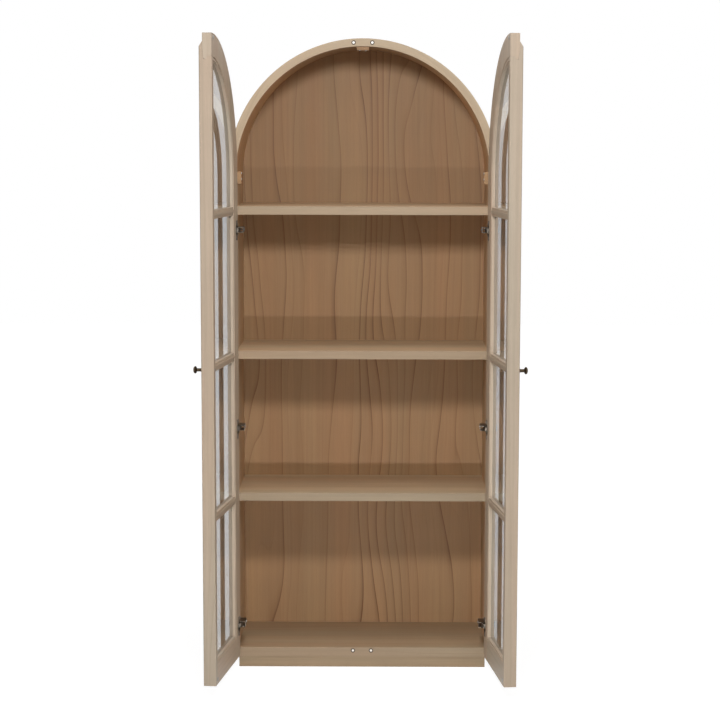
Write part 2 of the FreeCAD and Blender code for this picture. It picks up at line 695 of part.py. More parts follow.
def meeting_tongue(side, extra="0"):
    low = "door_edge - (meeting_stile_width + meeting_tongue_width) / 2 - %s" % extra
    near = "(rebate_depth - tenon_thickness) / 2 - %s" % extra
    return layer(side, low, "%s + meeting_tongue_width + 2 * %s" % (low, extra), near,
                 "%s + tenon_thickness + 2 * %s" % (near, extra),
                 "spring_height + rebate_radius - frame_tongue_half - %s" % extra,
                 "2 * frame_tongue_half + 2 * %s" % extra)


def sloped_profile(side):
    # from the outer edge inward: inner face, rebate, lip, sloped front face and border
    pairs = (("0", "0"), ("hinge_stile_width", "0"), ("hinge_stile_width", "rebate_depth"),
             ("hinge_stile_width + rebate_width", "rebate_depth"),
             ("hinge_stile_width + rebate_width", "sight_depth - edge_round"),
             ("hinge_stile_width + rebate_width - edge_round", "sight_depth"),
             ("border_width + bevel_width", "border_thickness"), ("0", "border_thickness"))
    points = []
    for along, depth in pairs:
        points.append((inward(side, "door_reveal + %s" % along), "door_face - (%s)" % depth))
    return points


def rail_room(side):
    # what the meeting stile leaves free for the arched rail, its own end bevelled over the rail's border
    lip = "hinge_stile_width + rebate_width + fit_gap"
    pairs = (("-border_width", "-fit_gap"), ("hinge_stile_width + fit_gap", "-fit_gap"),
             ("hinge_stile_width + fit_gap", "rebate_depth"), (lip, "rebate_depth"), (lip, "sight_depth + fit_gap"),
             ("border_width + bevel_width", "border_thickness + fit_gap"),
             ("border_width", "border_thickness + fit_gap"),
             ("border_width + bevel_width", "door_thickness + fit_gap"),
             ("-border_width", "door_thickness + fit_gap"))
    points = []
    for along, depth in pairs:
        points.append((inward(side, "door_reveal + %s" % along), "door_face - (%s)" % depth))
    return points


def straight_profile(side):
    pairs = (("0", "0"), ("meeting_stile_width", "0"), ("meeting_stile_width", "rebate_depth"),
             ("meeting_stile_width + rebate_width", "rebate_depth"),
             ("meeting_stile_width + rebate_width", "door_thickness - edge_round"),
             ("meeting_stile_width + rebate_width - edge_round", "door_thickness"),
             ("edge_round", "door_thickness"), ("0", "door_thickness - edge_round"))
    points = []
    for along, depth in pairs:
        points.append((inward(side, "door_edge - (%s)" % along), "door_face - (%s)" % depth))
    return points


def outside_arch(near, far, radius):
    # all of a door's layer outside a circle round the arch's centre, above the spring line
    start = "door_face - (%s)" % near
    whole = rod("front", "0", start, "spring_height", "2 * half_width", "(%s) - (%s)" % (far, near), "180")
    inner = rod("front", "0", start, "spring_height", radius, "(%s) - (%s)" % (far, near), "360")
    return cut(whole, inner)


def cup_bores(side):
    tools = []
    for height in HINGES:
        x = inward(side, "cup_centre")
        tools.append(peg("front", x, "door_face + fit_gap", height, "cup_radius + fit_gap", "cup_depth + fit_gap",
                         "cup_sides"))
        for sign in ("-", "+"):
            z = "%s %s cup_screw_spacing / 2" % (height, sign)
            tools.append(peg("front", x, "door_face", z, "screw_radius + bore_gap", "screw_length"))
    return tools


def bead_set(side):
    near = "bead_recess"
    far = "glass_setback - bore_gap"
    wide = "rebate_width - fit_gap"
    beads = []
    low_edge = "door_bottom + bottom_rail_width"
    rows = []
    for name, top in (("lower", "lower_shelf_top"), ("middle", "middle_shelf_top"), ("upper", "upper_muntin_top")):
        rows.append((low_edge, "%s - muntin_height + stem_offset" % top))
        low_edge = "%s - stem_offset" % top
    for low, high in rows:
        tall = "(%s) - (%s)" % (high, low)
        beads.append(layer(side, "pane_near", "pane_near + %s" % wide, near, far, low, tall))
        beads.append(layer(side, "pane_far - (%s)" % wide, "pane_far", near, far, low, tall))
        for z in (low, "%s - (%s)" % (high, wide)):
            beads.append(layer(side, "pane_near + %s" % wide, "pane_far - (%s)" % wide, near, far, z, wide))
    tall = "spring_height - (%s)" % low_edge
    beads.append(layer(side, "pane_near", "pane_near + %s" % wide, near, far, low_edge, tall))
    beads.append(layer(side, "pane_near + %s" % wide, "pane_far - (%s)" % wide, near, far, low_edge, wide))
    start = "door_face - bead_recess"
    deep = "glass_setback - bore_gap - bead_recess"
    ring = cut(rod("front", "0", start, "spring_height", "rebate_radius - fit_gap", deep, "180"),
               rod("front", "0", start, "spring_height", "lip_radius", deep, "360"))
    reach = side_box(side, "0", "pane_far - (%s)" % wide, "door_face - door_thickness", "spring_height",
                     "door_thickness", "half_width")
    beads.append(common(ring, reach))
    tall = "spring_height + half_width - (%s)" % low_edge
    post = layer(side, "pane_far - (%s)" % wide, "pane_far", near, far, low_edge, tall)
    beads.append(cut(post, outside_arch("0", "rebate_depth", "rebate_radius - fit_gap")))
    return beads, rows, low_edge


def arch_bars(side):
    # a curved bar in front of the glass, with its posts down to the bottom rail between the muntins
    low, high = "half_width - arch_bar_radius - arch_bar_width", "half_width - arch_bar_radius"
    start = "door_face - rebate_depth"
    ring = cut(rod("front", "0", start, "spring_height", "arch_bar_radius + arch_bar_width", "arch_bar_thickness",
                   "180"),
               rod("front", "0", start, "spring_height", "arch_bar_radius", "arch_bar_thickness", "360"))
    reach = side_box(side, "0", "%s - bore_gap" % LIP_FAR, "door_face - door_thickness", "spring_height",
                     "door_thickness", "half_width")
    tall = "spring_height - upper_muntin_top"
    foot = layer(side, low, high, "rebate_depth", "sight_depth", "upper_muntin_top", tall)
    bars = [fuse(common(ring, reach), foot)]
    bottom = "door_bottom + bottom_rail_width + rebate_width"
    for top in ("lower_shelf_top", "middle_shelf_top", "upper_muntin_top"):
        tall = "%s - muntin_height - (%s)" % (top, bottom)
        bars.append(layer(side, low, high, "rebate_depth", "sight_depth", bottom, tall))
        bottom = top
    return bars


for side in SIDES:
    # hinge stile and the arched rail above it, cut to one moulded profile
    stock = padded(sloped_profile(side), "spring_height - door_bottom", "door_bottom")
    tools = mortises(side, "hinge") + cup_bores(side) + [stile_tongue(side, "bore_gap")]
    node("hinge_stile_%s" % side, door_posed(side, cut(stock, *tools)))

    sweep = turned(sloped_profile(side), 90, side == "right", "spring_height")
    end_low, end_wide = across(side, "door_edge", "door_edge + doors_gap")
    trim = box(end_low, "door_face - 2 * door_thickness", "spring_height", end_wide, "3 * door_thickness", "half_width")
    node("arched_rail_%s" % side, door_posed(side, cut(sweep, trim, stile_tongue(side, "bore_gap"),
                                                          meeting_tongue(side, "bore_gap"))))

    # meeting stile, its top cut to the arched rail
    stock = padded(straight_profile(side), "spring_height + half_width - door_bottom", "door_bottom")
    rail_cut = turned(rail_room(side), 90, side == "right", "spring_height")
    knob_bore = peg("front", inward(side, KNOB_PLACE), "door_face", "knob_height", "screw_radius + bore_gap",
                    "door_thickness")
    tools = [rail_cut, knob_bore] + mortises(side, "meeting") + [meeting_tongue(side, "bore_gap")]
    node("meeting_stile_%s" % side, door_posed(side, cut(stock, *tools)))
    node("frame_tongues_%s" % side, door_posed(side, group(stile_tongue(side), meeting_tongue(side))))

    # bottom rail
    tenons = [tenon(side, "%s - tenon_length" % LIP_NEAR, "%s + tenon_length" % LIP_FAR, RAIL_TENON_LOW,
                    "rail_tenon_height")]
    rear_part = layer(side, "pane_near", "pane_far", "0", "rebate_depth", "door_bottom", "bottom_rail_width")
    front_part = layer(side, LIP_NEAR, LIP_FAR, "rebate_depth", "sight_depth", "door_bottom",
                       "bottom_rail_width + rebate_width")
    node("bottom_rail_%s" % side, door_posed(side, fuse(rear_part, front_part, *tenons)))

    # muntins
    for name, top in MUNTINS:
        stem = layer(side, "pane_near", "pane_far", "0", "rebate_depth", "%s - muntin_height + stem_offset" % top,
                     "muntin_stem")
        bar = layer(side, LIP_NEAR, LIP_FAR, "rebate_depth", "sight_depth", "%s - muntin_height" % top,
                    "muntin_height")
        ends = tenon(side, "%s - tenon_length" % LIP_NEAR, "%s + tenon_length" % LIP_FAR, muntin_tenon_low(top),
                     "muntin_tenon_height")
        node("muntin_%s_%s" % (name, side), door_posed(side, fuse(stem, bar, ends)))

    node("arch_bars_%s" % side, door_posed(side, group(*arch_bars(side))))

    # glass and the beads that hold it
    beads, rows, arch_low = bead_set(side)
    node("glazing_beads_%s" % side, door_posed(side, group(*beads)))
    far = "glass_setback + glass_thickness"
    for name, (low, high) in zip(("bottom", "lower", "upper"), rows):
        pane = layer(side, "pane_near + glass_play", "pane_far - glass_play", "glass_setback", far,
                     "%s + glass_play" % low, "(%s) - (%s) - 2 * glass_play" % (high, low))
        node("glass_%s_%s" % (name, side), door_posed(side, group(pane)))
    blank = layer(side, "pane_near + glass_play", "pane_far - glass_play", "glass_setback", far,
                  "%s + glass_play" % arch_low, "spring_height + half_width - (%s) - glass_play" % arch_low)
    arched = cut(blank, outside_arch("0", "rebate_depth", "rebate_radius - glass_play"))
    node("glass_arched_%s" % side, door_posed(side, arched))

    # knob, its screw and the strike plates
    rings = []
    for radius, share in KNOB_RING_SHARES:
        ring = doc.addObject("Part::RegularPolygon", "ring")
        bind(ring, "Polygon", "knob_sides")
        bind(ring, "Circumradius", radius)
        rings.append(at(ring, inward(side, KNOB_PLACE), "door_face - door_thickness - knob_length * %s" % share,
                        "knob_height", "front"))
    body = doc.addObject("Part::Loft", "knob")
    body.Sections = rings
    body.Solid = True
    body.Ruled = True
    body.Linearize = True
    bore = peg("front", inward(side, KNOB_PLACE), "door_face - door_thickness", "knob_height",
               "screw_radius + bore_gap", "knob_screw_bite")
    node("knob_%s" % side, door_posed(side, cut(body, bore)))
    screw = headed_screw(inward(side, KNOB_PLACE), "door_face", "knob_height", "door_thickness + knob_screw_bite")
    node("knob_screw_%s" % side, door_posed(side, screw))
    strikes = []
    for z in (MAGNET_HIGH, "magnet_low_height"):
        x = inward(side, STRIKE_PLACE)
        strikes.append(peg("front", x, "door_face + strike_thickness", z, "strike_radius", "strike_thickness",
                           "2 * pin_sides"))
    node("strike_plates_%s" % side, door_posed(side, group(*strikes)))

    # hinge cups with their pins, and the cup screws
    cups = []
    cup_screws = []
    for height in HINGES:
        x = inward(side, "cup_centre")
        face = "door_face + flange_thickness"
        drum = peg("front", x, "door_face", height, "cup_radius", "cup_depth - fit_gap", "cup_sides")
        rim = peg("front", x, face, height, "flange_radius", "flange_thickness", "cup_sides")
        wings = side_box(side, "cup_centre - flange_width / 2", "cup_centre + flange_width / 2", "door_face",
                         "%s - flange_height / 2" % height, "flange_thickness", "flange_height")
        inside = peg("front", x, face, height, "cup_radius - cup_sheet",
                     "cup_depth - fit_gap + flange_thickness - cup_sheet", "cup_sides")
        shell = cut(fuse(drum, rim, wings), inside)
        cheeks = []
        for low in ("%s + link_height / 2 + arm_side_gap" % height,
                    "%s - link_height / 2 - arm_side_gap - cup_cheek" % height):
            cheeks.append(side_box(side, "pin_closed_in - link_boss_radius", "pin_closed_in + link_boss_radius",
                                   "door_face - cup_depth + fit_gap + cup_sheet / 2", low,
                                   "cup_depth - 2 * fit_gap - cup_sheet / 2", "cup_cheek"))
        pin_x = inward(side, "pin_closed_in")
        pin_low = "%s - link_height / 2 - arm_side_gap - cup_cheek" % height
        pin_tall = "link_height + 2 * arm_side_gap + 2 * cup_cheek"
        bores = [peg("up", pin_x, "front + pin_closed_back", pin_low, "hinge_pin_radius + bore_gap", pin_tall,
                     "pin_sides")]
        for sign in ("-", "+"):
            z = "%s %s cup_screw_spacing / 2" % (height, sign)
            bores.append(peg("front", x, face, z, "screw_radius + bore_gap", "flange_thickness"))
            cup_screws.append(headed_screw(x, face, z, "screw_length", "flat_head_height"))
        cups.append(cut(fuse(shell, *cheeks), *bores))
        cups.append(peg("up", pin_x, "front + pin_closed_back", pin_low, "hinge_pin_radius", pin_tall, "pin_sides"))
    node("hinge_cups_%s" % side, door_posed(side, group(*cups)))
    node("cup_screws_%s" % side, door_posed(side, group(*cup_screws)))

doc.recompute()

# Check every piece, then write one file for each

for thing in doc.Objects:
    if "Invalid" in thing.State or "Error" in thing.State:
        raise SystemExit("broken: %s %s %s" % (thing.Name, thing.Label, thing.State))
os.makedirs("parts", exist_ok=True)
for thing in NODES:
    shape = thing.Shape
    if shape.isNull() or not shape.isValid() or not shape.Solids:
        raise SystemExit("bad shape: %s" % thing.Label)
    shape.exportStep("parts/%s.step" % thing.Label)
print("%d pieces written" % len(NODES))
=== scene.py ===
import math

import bmesh
import bpy
from mathutils import Euler, Matrix, Vector

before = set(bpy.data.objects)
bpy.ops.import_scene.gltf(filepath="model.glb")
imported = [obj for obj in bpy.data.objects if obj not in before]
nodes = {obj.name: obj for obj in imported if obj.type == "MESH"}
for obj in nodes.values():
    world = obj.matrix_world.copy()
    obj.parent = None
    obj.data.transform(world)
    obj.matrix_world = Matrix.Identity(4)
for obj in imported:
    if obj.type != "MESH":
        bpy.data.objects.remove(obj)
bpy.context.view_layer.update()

# Measures of the part

LEFT_OPEN = math.radians(96.5)  # the doors as they stand
RIGHT_OPEN = math.radians(95.8)
SPRING = 1.68  # height of the arch's centre
ARCH_RADIUS = 0.437  # middle of the arch's board
FRONT = -0.013  # front edges of the carcass


# Colours


def grey(v):
    return (v, v, v, 1.0)


def shade(colour, factor):
    return tuple(factor * c for c in colour[:3]) + (1.0,)


def linear(r, g, b):
    # a screen colour of 0 to 255, made linear
    out = []
    for v in (r, g, b):
        v = v / 255
        out.append(v / 12.92 if v <= 0.04045 else ((v + 0.055) / 1.055) ** 2.4)
    return tuple(out) + (1.0,)


# Node helpers

MIX_A, MIX_B, MIX_RESULT = 6, 7, 2  # the colour sockets of a mix node


class Graph:
    # The node tree of a material or world, with its output alone to start with

    def __init__(self, owner, output="ShaderNodeOutputMaterial"):
        owner.use_nodes = True
        self.owner = owner
        self.tree = owner.node_tree
        self.tree.nodes.clear()
        self.out = self.tree.nodes.new(output)

    def add(self, kind, **values):
        node = self.tree.nodes.new(kind)
        for key, value in values.items():
            setattr(node, key, value)
        return node

    def join(self, source, target):
        self.tree.links.new(source, target)

    def put(self, socket, value):
        if isinstance(value, bpy.types.NodeSocket):
            self.join(value, socket)
        else:
            socket.default_value = value

    def math(self, operation, a, b=0.0):
        node = self.add("ShaderNodeMath", operation=operation)
        self.put(node.inputs[0], a)
        self.put(node.inputs[1], b)
        return node.outputs[0]

    def total(self, *parts):
        # the sum of values, each with its weight
        out = None
        for value, weight in parts:
            term = self.math("MULTIPLY", value, weight)
            out = term if out is None else self.math("ADD", out, term)
        return out

    def object_place(self):
        return self.add("ShaderNodeTexCoord").outputs["Object"]

    def face_normal(self):
        return self.add("ShaderNodeNewGeometry").outputs["True Normal"]

    def split(self, vector):
        node = self.add("ShaderNodeSeparateXYZ")
        self.join(vector, node.inputs[0])
        return node.outputs[0], node.outputs[1], node.outputs[2]

    def mapped(self, vector, scale=(1.0, 1.0, 1.0), shift=(0.0, 0.0, 0.0), turn=(0.0, 0.0, 0.0)):
        node = self.add("ShaderNodeMapping")
        self.join(vector, node.inputs["Vector"])
        node.inputs["Scale"].default_value = scale
        node.inputs["Location"].default_value = shift
        node.inputs["Rotation"].default_value = turn
        return node.outputs["Vector"]

    def noise(self, vector, scale, detail, rough, distortion=0.0):
        node = self.add("ShaderNodeTexNoise")
        self.join(vector, node.inputs["Vector"])
        node.inputs["Scale"].default_value = scale
        node.inputs["Detail"].default_value = detail
        node.inputs["Roughness"].default_value = rough
        node.inputs["Distortion"].default_value = distortion
        return node.outputs["Fac"]

    def ramp(self, fac, stops):
        node = self.add("ShaderNodeValToRGB")
        self.join(fac, node.inputs["Fac"])
        while len(node.color_ramp.elements) < len(stops):
            node.color_ramp.elements.new(0.5)
        for element, (place, colour) in zip(node.color_ramp.elements, stops):
            element.position = place
            element.color = colour
        return node.outputs["Color"]

    def mix(self, fac, a, b, blend="MIX"):
        node = self.add("ShaderNodeMix", data_type="RGBA", blend_type=blend)
        self.put(node.inputs["Factor"], fac)
        self.put(node.inputs[MIX_A], a)
        self.put(node.inputs[MIX_B], b)
        return node.outputs[MIX_RESULT]

    def bump(self, height, strength, distance):
        node = self.add("ShaderNodeBump")
        node.inputs["Strength"].default_value = strength
        node.inputs["Distance"].default_value = distance
        self.join(height, node.inputs["Height"])
        return node.outputs["Normal"]

    def surface(self, sockets):
        # a principled shader with these values or links, as the output
        shader = self.add("ShaderNodeBsdfPrincipled")
        for name, value in sockets.items():
            self.put(shader.inputs[name], value)
        self.join(shader.outputs[0], self.out.inputs[0])
        return self.owner

    def blend_out(self, fac, a, b):
        # a mix of two shaders, as the output
        node = self.add("ShaderNodeMixShader")
        self.join(fac, node.inputs[0])
        self.join(a, node.inputs[1])
        self.join(b, node.inputs[2])
        self.join(node.outputs[0], self.out.inputs[0])

    def seen(self):
        # 1 for rays of the camera, and for those by which glass and metal show the background
        path = self.add("ShaderNodeLightPath")
        out = self.math("MAXIMUM", path.outputs["Is Camera Ray"], path.outputs["Is Transmission Ray"])
        return self.math("MAXIMUM", out, path.outputs["Is Glossy Ray"])


def new_graph(name):
    return Graph(bpy.data.materials.new(name))


# Wood. The grain runs along the local x of the mapped coordinates.

GRAIN_TURN = {
    "x": (0.0, 0.0, 0.0),
    "y": (0.0, 0.0, math.radians(-90)),
    "z": (0.0, math.radians(90), 0.0),
    "arc": (0.0, 0.0, 0.0),
}
SEED_STEP = (1.7, 0.9, 1.3)
TONE_SPREAD = ((0.46, 0.84), (1.0, 1.16))  # darkest and lightest share of a wood's mean colour
HUE_SPREAD = [(0.34, (1.03, 0.975, 0.94, 1.0)), (0.66, (0.975, 1.015, 1.02, 1.0))]
LINE_EDGE = [(0.0, grey(0.0)), (0.035, grey(1.0)), (0.11, grey(0.42)), (0.34, grey(0.1)), (0.7, grey(0.0))]
LINE_CHOICE = [(0.0, grey(0.0)), (0.3, grey(0.12)), (0.62, grey(0.5)), (1.0, grey(1.0))]
LINE_FADE = [(0.3, grey(0.35)), (0.58, grey(1.0))]
PORES = [(0.0, grey(0.0)), (0.62, grey(0.0)), (0.76, grey(0.4))]
PORE_SHADE = 0.66
WOOD_DULL = [(0.3, grey(0.45)), (0.7, grey(0.6))]
FACING_FRONT = 0.7  # least forward part of the normal of a front edge
INWARD = -0.1  # the product of place and normal that marks the arch's inside
CROWN_PAINTED_SHADE = 0.45  # painted shade: the share of the arch's painted light that is left at its crown


def grain_space(g, way, seed, angle):
    place = g.object_place()
    if way == "arc":
        x, y, z = g.split(place)
        up = g.math("SUBTRACT", z, SPRING)
        along = g.math("MULTIPLY", g.math("ARCTAN2", up, x), ARCH_RADIUS)
        radius = g.math("SQRT", g.math("ADD", g.math("MULTIPLY", up, up), g.math("MULTIPLY", x, x)))
        joined = g.add("ShaderNodeCombineXYZ")
        for value, socket in zip((along, radius, y), joined.inputs):
            g.join(value, socket)
        place = joined.outputs[0]
    if angle:
        place = g.mapped(place, turn=(0.0, 0.0, angle))
    return g.mapped(place, shift=[seed * step for step in SEED_STEP], turn=GRAIN_TURN[way])


def spread(tone):
    return [(place, shade(tone, factor)) for place, factor in TONE_SPREAD]


def paint_arch_inside_light(g, base, arch_light):
    # paints light and shade on the faces inside the arch: painted light, lighter than the wood, low down, then
    # painted shade, darker towards the crown
    out_x, out_y, out_z = g.split(g.face_normal())
    x, y, z = g.split(g.object_place())
    up = g.math("SUBTRACT", z, SPRING)
    outward = g.math("ADD", g.math("MULTIPLY", out_x, x), g.math("MULTIPLY", out_z, up))
    # painted light low in the arch, going over into painted shade at the crown
    painted_light_ramp = g.ramp(g.math("DIVIDE", up, ARCH_RADIUS), [(0.0, arch_light), (0.62, arch_light), (0.97, shade(arch_light, CROWN_PAINTED_SHADE))])
    return g.mix(g.math("LESS_THAN", outward, INWARD), base, g.mix(1.0, base, painted_light_ramp, "MULTIPLY"))


def wood(name, way, tone, line, seed, pitch, wander, drift, strength, angle=0.0, band=None, inner_painted_light=None):
    # tone: the wood's mean colour; line: the colour of its growth lines; pitch: lines in a metre across the grain;
    # wander, drift: how far and how soon they bend; angle: a door's turn; band: the mean colour of front edges;
    # inner_painted_light: the colour multiplied into the arch's inside, painted light low down and painted shade
    # towards the crown
    g = new_graph(name)
    space = grain_space(g, way, seed, angle)
    across_y, across_z = g.split(space)[1:]
    across = g.total((across_y, 0.55), (across_z, 0.84))
    # growth lines: steps of a slope across the grain that a long, stretched field bends
    bend = g.noise(g.mapped(space, (drift, 4.2, 4.2)), 1.0, 1.6, 0.42, 0.15)
    field = g.total((across, pitch), (bend, 2.0 * wander))
    each = g.add("ShaderNodeTexWhiteNoise", noise_dimensions="1D")
    g.join(g.math("FLOOR", field), each.inputs["W"])
    edge = g.ramp(g.math("FRACT", field), LINE_EDGE)
    chosen = g.ramp(each.outputs["Value"], LINE_CHOICE)
    fade = g.ramp(g.noise(g.mapped(space, (1.6, 12.0, 12.0)), 1.0, 1.0, 0.5), LINE_FADE)
    lines = g.math("MULTIPLY", g.math("MULTIPLY", edge, chosen), g.math("MULTIPLY", fade, strength))
    # fibres, streaks along the grain, broad and cloudy changes of tone, and pores
    fibre = g.noise(g.mapped(space, (16.0, 640.0, 640.0)), 1.0, 3.0, 0.6)
    streak = g.noise(g.mapped(space, (1.3, 95.0, 95.0)), 1.0, 3.0, 0.62)
    broad = g.noise(g.mapped(space, (0.35, 13.0, 13.0)), 1.0, 1.0, 0.5)
    cloud = g.noise(space, 5.0, 2.0, 0.5)
    pore = g.noise(g.mapped(space, (50.0, 1500.0, 1500.0)), 1.0, 1.0, 0.5)
    level = g.total((streak, 0.5), (fibre, 0.3), (broad, 0.45), (cloud, 0.25))
    base = g.ramp(level, spread(tone))
    if band:
        forward = g.math("MULTIPLY", g.split(g.face_normal())[1], -1.0)
        base = g.mix(g.math("GREATER_THAN", forward, FACING_FRONT), base, g.ramp(level, spread(band)))
    if inner_painted_light:
        base = paint_arch_inside_light(g, base, inner_painted_light)
    hue = g.noise(g.mapped(space, (0.7, 9.0, 9.0), (3.1, 0.4, 1.7)), 1.0, 2.0, 0.5)
    base = g.mix(1.0, base, g.ramp(hue, HUE_SPREAD), "MULTIPLY")
    base = g.mix(lines, base, line)
    base = g.mix(g.ramp(pore, PORES), base, shade(tone, PORE_SHADE))
    return g.surface({
        "Base Color": base,
        "Roughness": g.ramp(fibre, WOOD_DULL),
        "Specular IOR Level": 0.3,
        "Normal": g.bump(g.total((fibre, 0.6), (pore, -0.5)), 0.2, 0.0005),
    })


# Metal and glass


def metal(name, colour, rough):
    g = new_graph(name)
    cloud = g.noise(g.object_place(), 260.0, 3.0, 0.55)
    return g.surface({
        "Metallic": 1.0,
        "Base Color": g.ramp(cloud, [(0.3, shade(colour, 0.82)), (0.7, colour)]),
        "Roughness": g.ramp(cloud, [(0.3, grey(rough)), (0.7, grey(rough + 0.08))]),
        "Normal": g.bump(cloud, 0.05, 0.0003),
    })


def bronze(name):
    g = new_graph(name)
    cloud = g.noise(g.object_place(), 340.0, 4.0, 0.6)
    tones = [(0.3, linear(46, 38, 30)), (0.62, linear(86, 72, 56)), (0.78, linear(128, 104, 76))]
    return g.surface({
        "Metallic": 1.0,
        "Base Color": g.ramp(cloud, tones),
        "Roughness": g.ramp(cloud, [(0.3, grey(0.34)), (0.7, grey(0.5))]),
    })


def magnet_painted_highlight(name):
    # a painted highlight: a near-white middle on each magnet's face, in the darker rim of its cup, at each of the
    # four places
    g = new_graph(name)
    points = [v.co for v in nodes["catch_magnets"].data.vertices]

    def middle(values):
        return 0.5 * (min(values) + max(values))

    aside = middle([p.x for p in points if p.x > 0.0])
    high = middle([p.z for p in points if p.z > 1.0])
    low = middle([p.z for p in points if p.z < 1.0])
    place = g.object_place()
    x, y, z = g.split(place)
    across = g.math("SUBTRACT", g.math("ABSOLUTE", x), aside)
    to_high = g.math("ABSOLUTE", g.math("SUBTRACT", z, high))
    to_low = g.math("ABSOLUTE", g.math("SUBTRACT", z, low))
    up = g.math("MINIMUM", to_high, to_low)
    radius = g.math("SQRT", g.math("ADD", g.math("MULTIPLY", across, across), g.math("MULTIPLY", up, up)))
    centimetres = g.math("MULTIPLY", radius, 100.0)
    # painted highlight in the middle, then the darker rim of the cup
    tones = [(0.36, linear(235, 230, 222)), (0.46, linear(70, 58, 48)), (0.75, linear(96, 84, 72))]
    cloud = g.noise(place, 300.0, 3.0, 0.6)
    return g.surface({
        "Metallic": 0.3,
        "Specular IOR Level": 0.3,
        "Base Color": g.ramp(centimetres, tones),
        "Roughness": g.ramp(cloud, [(0.3, grey(0.55)), (0.7, grey(0.7))]),
    })


def clear_glass(name):
    g = new_graph(name)
    smear = g.noise(g.object_place(), 6.0, 3.0, 0.6)
    return g.surface({
        "Base Color": (0.83, 0.872, 0.905, 1.0),
        "Transmission Weight": 1.0,
        "IOR": 1.46,
        "Roughness": g.ramp(smear, [(0.35, grey(0.0)), (0.75, grey(0.025))]),
    })


# Materials of the pieces

DOOR = (0.488, 0.385, 0.288, 1.0)
DOOR_LINE = (0.30, 0.215, 0.14, 1.0)
SHELF = (0.506, 0.358, 0.22, 1.0)
SHELF_LINE = (0.29, 0.2, 0.125, 1.0)
SIDE = (0.56, 0.385, 0.235, 1.0)
INSIDE = (0.34, 0.195, 0.09, 1.0)
INSIDE_LINE = (0.11, 0.042, 0.016, 1.0)
PLINTH = (0.335, 0.242, 0.148, 1.0)
BAND = (0.395, 0.289, 0.187, 1.0)  # front edges of the boards
ARCH_BAND = (0.46, 0.35, 0.232, 1.0)  # front edges of the arch and side panels
ARCH_PAINTED_LIGHT = (1.16, 1.08, 1.0, 1.0)  # painted light, multiplied into the wood on the arch's inside

FINE = {"pitch": 70.0, "wander": 4.0, "drift": 0.8, "strength": 0.5}
BOLD = {"pitch": 40.0, "wander": 5.3, "drift": 0.85, "strength": 1.15}
BOARD = {"pitch": 105.0, "wander": 4.0, "drift": 0.8, "strength": 0.85}
PANEL = {"pitch": 45.0, "wander": 5.0, "drift": 0.9, "strength": 0.6}
BEAD = {"pitch": 60.0, "wander": 2.0, "drift": 0.9, "strength": 0.2}


def assign(node, material):
    mesh = nodes[node].data
    mesh.materials.clear()
    mesh.materials.append(material)


# name, way of the grain, tone, lines, seed, front edges, kind of grain
CARCASS = (
    ("side_panel_left", "side_wood_left", "z", SIDE, SHELF_LINE, 1.0, ARCH_BAND, PANEL),
    ("side_panel_right", "side_wood_right", "z", SIDE, SHELF_LINE, 2.3, ARCH_BAND, PANEL),
    ("back_panel", "back_wood", "z", INSIDE, INSIDE_LINE, 4.7, None, BOLD),
    ("bottom_panel", "bottom_wood", "x", shade(SHELF, 0.82), SHELF_LINE, 5.2, shade(BAND, 0.84), BOARD),
    ("shelf_upper", "shelf_wood_upper", "x", SHELF, SHELF_LINE, 6.0, shade(BAND, 0.97), BOARD),
    ("shelf_middle", "shelf_wood_middle", "x", SHELF, SHELF_LINE, 7.37, shade(BAND, 0.9), BOARD),
    ("shelf_lower", "shelf_wood_lower", "x", SHELF, SHELF_LINE, 8.74, shade(BAND, 0.83), BOARD),
    ("plinth_front", "plinth_wood_front", "x", PLINTH, SHELF_LINE, 10.0, None, BOARD),
    ("plinth_back", "plinth_wood_back", "x", PLINTH, SHELF_LINE, 11.0, None, BOARD),
    ("plinth_left", "plinth_wood_left", "y", PLINTH, SHELF_LINE, 12.0, None, BOARD),
    ("plinth_right", "plinth_wood_right", "y", PLINTH, SHELF_LINE, 13.0, None, BOARD),
)
for piece, name, way, tone, line, seed, band, grain in CARCASS:
    assign(piece, wood(name, way, tone, line, seed, band=band, **grain))
# the arch's inside gets painted light low down and painted shade at its crown
assign("arch_top", wood("arch_wood", "arc", SIDE, SHELF_LINE, 3.1, band=ARCH_BAND, inner_painted_light=ARCH_PAINTED_LIGHT, **FINE))

# The same in a door: name, way of the grain, tone, seed, whether it turns with the door, kind of grain
DOOR_PIECES = (
    ("hinge_stile", "hinge_stile_wood", "z", DOOR, 0.0, False, FINE),
    ("meeting_stile", "meeting_stile_wood", "z", DOOR, 1.9, False, FINE),
    ("arched_rail", "arched_rail_wood", "z", DOOR, 5.0, False, FINE),
    ("bottom_rail", "bottom_rail_wood", "x", DOOR, 7.0, True, FINE),
    ("muntin_upper", "muntin_upper_wood", "x", DOOR, 8.0, True, FINE),
    ("muntin_middle", "muntin_middle_wood", "x", DOOR, 9.0, True, FINE),
    ("muntin_lower", "muntin_lower_wood", "x", DOOR, 10.0, True, FINE),
    ("glazing_beads", "bead_wood", "z", shade(DOOR, 1.08), 12.0, False, BEAD),
    ("arch_bars", "arch_bar_wood", "z", DOOR, 14.0, False, FINE),
)
for side, turn, first_seed in (("left", LEFT_OPEN, 20.0), ("right", -RIGHT_OPEN, 40.0)):
    for piece, name, way, tone, seed, turned, grain in DOOR_PIECES:
        angle = turn if turned else 0.0
        material = wood("%s_%s" % (name, side), way, tone, DOOR_LINE, first_seed + seed, angle=angle, **grain)
        assign("%s_%s" % (piece, side), material)

